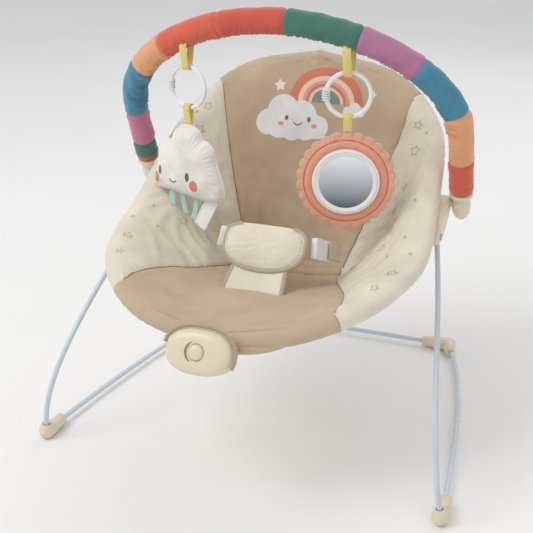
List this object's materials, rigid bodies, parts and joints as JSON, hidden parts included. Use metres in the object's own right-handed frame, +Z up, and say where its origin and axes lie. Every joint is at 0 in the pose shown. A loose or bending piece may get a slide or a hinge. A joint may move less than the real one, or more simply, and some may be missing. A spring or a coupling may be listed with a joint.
{
  "type": "baby bouncer seat",
  "caption": "Baby bouncer seat on a wire base with a padded fabric cover, crotch restraint, vibration unit and arched toy bar with two hanging toys.",
  "frame": {"origin": "middle of the footprint on the floor", "axes": "+Z up, the foot end of the seat faces -Y, +X is the seated child's left"},
  "size_m": [0.5274, 0.5295, 0.5306],
  "materials": {
    "cream_plastic": "satin moulded plastic",
    "white_plastic": "glossy moulded plastic",
    "white_wire": "powder-coated steel wire",
    "steel": "plain steel",
    "taupe_fabric": "quilted brushed polyester",
    "cream_fabric": "quilted brushed polyester",
    "webbing": "woven webbing",
    "sleeve_fabric": "gathered stretch fabric in many colours",
    "yellow_ribbon": "woven ribbon",
    "white_padding": "padded smooth cloth",
    "teal_ribbon": "crinkled ribbon",
    "white_label": "satin label, blank",
    "coral_felt": "felt",
    "mirror": "plastic safety mirror",
    "circuit_board": "bare board",
    "cell_jacket": "plain wrapped cell",
    "brass": "plain brass"
  },
  "bodies": {
    "base": {"front_foot_left": "cream_plastic", "front_foot_right": "cream_plastic", "rail_left": "white_wire", "rail_right": "white_wire", "rear_foot_left": "cream_plastic", "rear_foot_right": "cream_plastic", "rear_bar": "white_wire"},
    "seat": {"leg_left": "white_wire", "leg_right": "white_wire", "seat_front_tube": "steel", "seat_back_tube": "steel", "hub_inner_left": "cream_plastic", "hub_inner_right": "cream_plastic", "hub_outer_left": "cream_plastic", "hub_outer_right": "cream_plastic", "hub_screw_left": "steel", "hub_screw_right": "steel", "cover_seat": "taupe_fabric", "cover_back": "taupe_fabric", "cover_side_left": "cream_fabric", "cover_side_right": "cream_fabric", "crotch_pad": "cream_fabric", "crotch_strap": "cream_fabric", "waist_strap_left": "webbing", "waist_strap_right": "webbing", "buckle_socket_left": "white_plastic", "buckle_socket_right": "white_plastic", "unit_front_shell": "cream_plastic", "unit_back_shell": "cream_plastic", "battery_cell": "cell_jacket", "battery_contact_left": "brass", "battery_contact_right": "brass", "motor": "steel", "switch_board": "circuit_board", "unit_screw_left": "steel", "unit_screw_right": "steel", "unit_clip": "cream_plastic"},
    "tongue_left": {"buckle_tongue_left": "white_plastic"},
    "tongue_right": {"buckle_tongue_right": "white_plastic"},
    "battery_door": {"battery_door": "cream_plastic"},
    "eccentric_weight": {"eccentric_weight": "brass"},
    "unit_button": {"unit_button": "cream_plastic"},
    "toy_bar": {"toy_bar_core": "white_plastic", "toy_bar_sleeve": "sleeve_fabric", "toy_bar_pod_left": "cream_plastic", "toy_bar_pod_right": "cream_plastic", "ribbon_loop_left": "yellow_ribbon", "ribbon_loop_right": "yellow_ribbon"},
    "ring_left": {"ring_left": "white_plastic"},
    "ring_right": {"ring_right": "white_plastic"},
    "cloud_toy": {"cloud_loop": "yellow_ribbon", "cloud_body": "white_padding", "cloud_ribbon_1": "teal_ribbon", "cloud_ribbon_2": "teal_ribbon", "cloud_ribbon_3": "teal_ribbon", "cloud_tag": "white_label"},
    "flower_toy": {"flower_loop": "yellow_ribbon", "flower_felt": "coral_felt", "mirror_bezel": "white_plastic", "mirror_plate": "mirror"}
  },
  "joints": [
    {"name": "bounce", "type": "hinge", "parent": "base", "child": "seat", "pos_m": [0, -0.172, 0.016], "axis": [1, 0, 0], "range_deg": [-3, 2], "stiffness_Nm_per_rad": 200, "springref_deg": 1.15},
    {"name": "toy_bar_swing", "type": "hinge", "parent": "seat", "child": "toy_bar", "pos_m": [0, 0.0625, 0.2975], "axis": [1, 0, 0], "range_deg": [-30, 2]},
    {"name": "ring_left_swing", "type": "hinge", "parent": "toy_bar", "child": "ring_left", "pos_m": [-0.118, -0.00917, 0.4558], "axis": [0.9744, -0.225, 0], "range_deg": [-14, 2.5]},
    {"name": "ring_right_swing", "type": "hinge", "parent": "toy_bar", "child": "ring_right", "pos_m": [0.086, -0.01321, 0.4628], "axis": [0.9613, 0.2756, 0], "range_deg": [-10, 12]},
    {"name": "cloud_sway", "type": "hinge", "parent": "ring_left", "child": "cloud_toy", "pos_m": [-0.118, -0.00917, 0.43], "axis": [-0.225, -0.9744, 0], "range_deg": [-0.8, 15]},
    {"name": "flower_sway", "type": "hinge", "parent": "ring_right", "child": "flower_toy", "pos_m": [0.086, -0.01321, 0.437], "axis": [0.2756, -0.9613, 0], "range_deg": [-15, 15]},
    {"name": "motor_spin", "type": "hinge", "parent": "seat", "child": "eccentric_weight", "pos_m": [0, -0.23301, 0.21124], "axis": [1, 0, 0], "continuous": true},
    {"name": "button_press", "type": "slide", "parent": "seat", "child": "unit_button", "axis": [0, 0.9063, -0.4226], "range_m": [0, 0.0015], "stiffness_N_per_m": 300, "springref_m": -0.0003},
    {"name": "battery_door_off", "type": "slide", "parent": "seat", "child": "battery_door", "axis": [0, 0.9063, -0.4226], "range_m": [0, 0.012]},
    {"name": "buckle_left", "type": "slide", "parent": "seat", "child": "tongue_left", "axis": [-0.2505, 0.8718, -0.4209], "range_m": [0, 0.01]},
    {"name": "buckle_right", "type": "slide", "parent": "seat", "child": "tongue_right", "axis": [0.2505, 0.8718, -0.4209], "range_m": [0, 0.01]}
  ]
}
